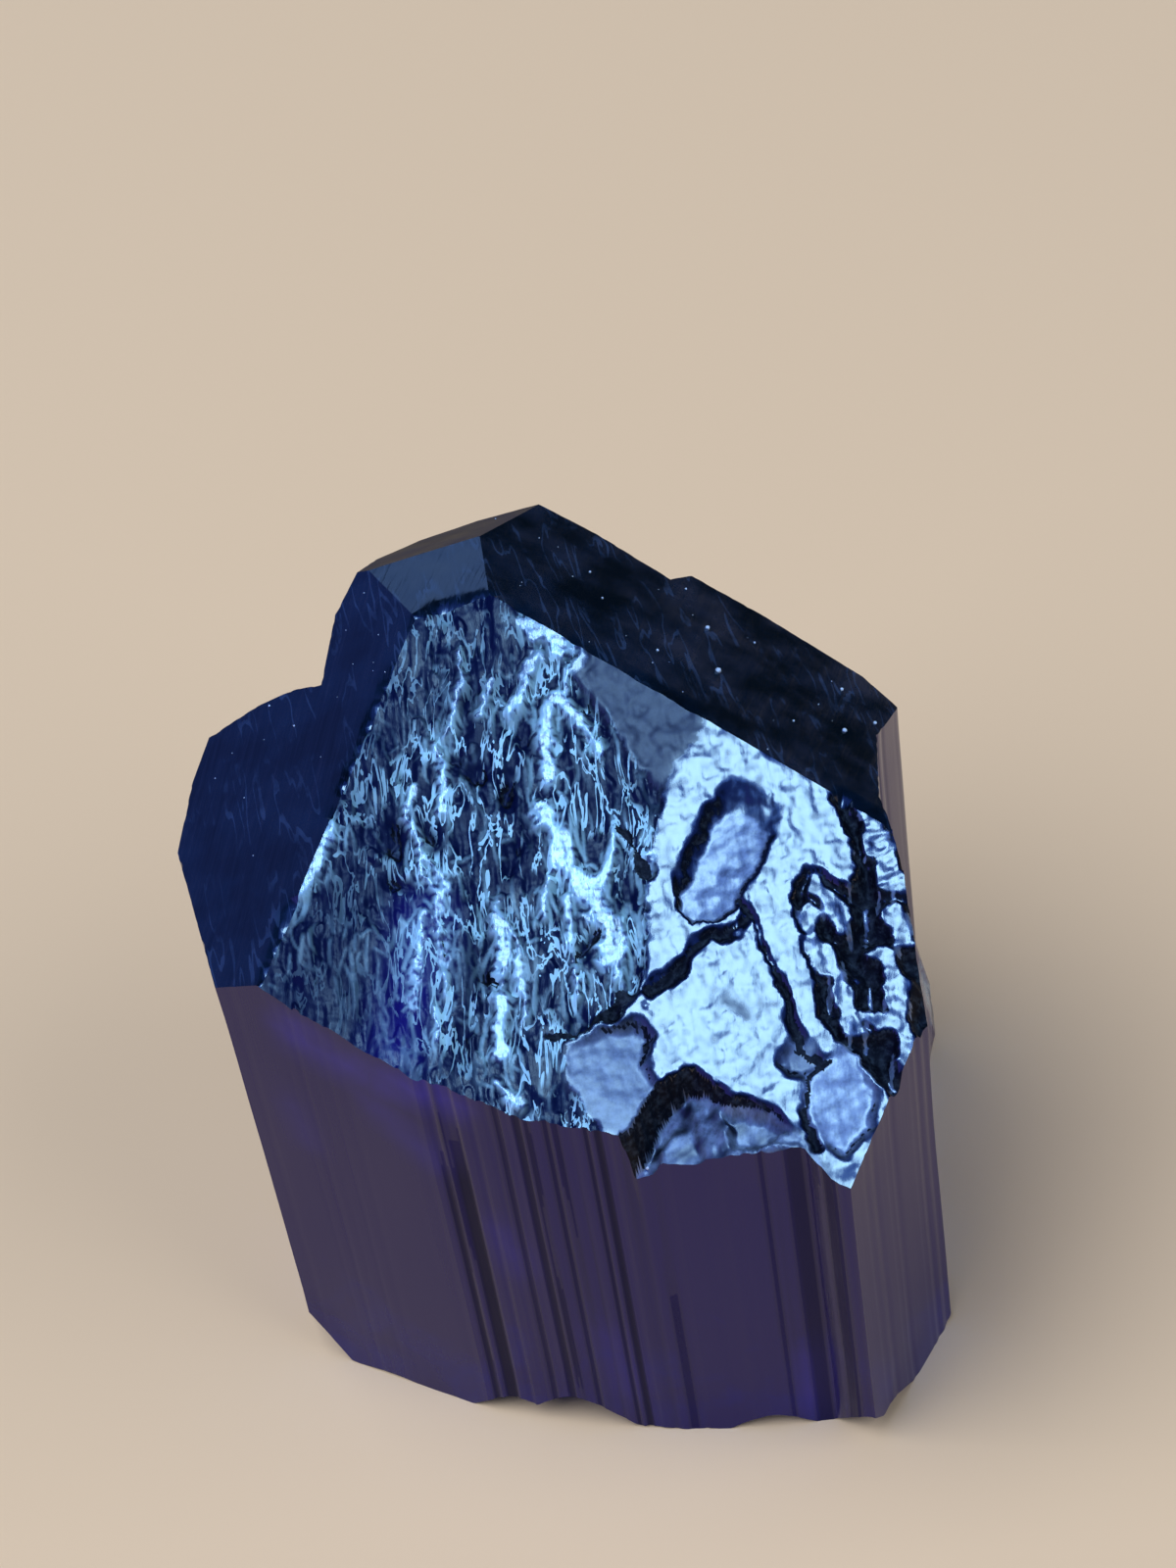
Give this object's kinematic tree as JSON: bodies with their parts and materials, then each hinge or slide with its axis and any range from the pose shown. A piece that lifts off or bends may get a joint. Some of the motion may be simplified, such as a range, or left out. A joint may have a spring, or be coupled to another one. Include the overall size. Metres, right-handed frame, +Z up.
{
  "type": "scapolite crystal",
  "caption": "Stubby dark violet crystal: a square prism with striated walls, a low four-sided pyramid with an etched front facet, and a small lobe grown against its side.",
  "frame": {"origin": "middle of the bounding box in plan, at the level of the flat base that the crystal stands on", "axes": "+Z up along the crystal's long axis; the broad smooth prism wall faces -Y; the etched pyramid facet faces -Y and +X"},
  "size_m": [0.0304, 0.026, 0.0302],
  "materials": {
    "violet_scapolite": "natural crystal faces, glossy, with one etched facet"
  },
  "bodies": {
    "root": {"scapolite_crystal": "violet_scapolite"}
  },
  "joints": []
}
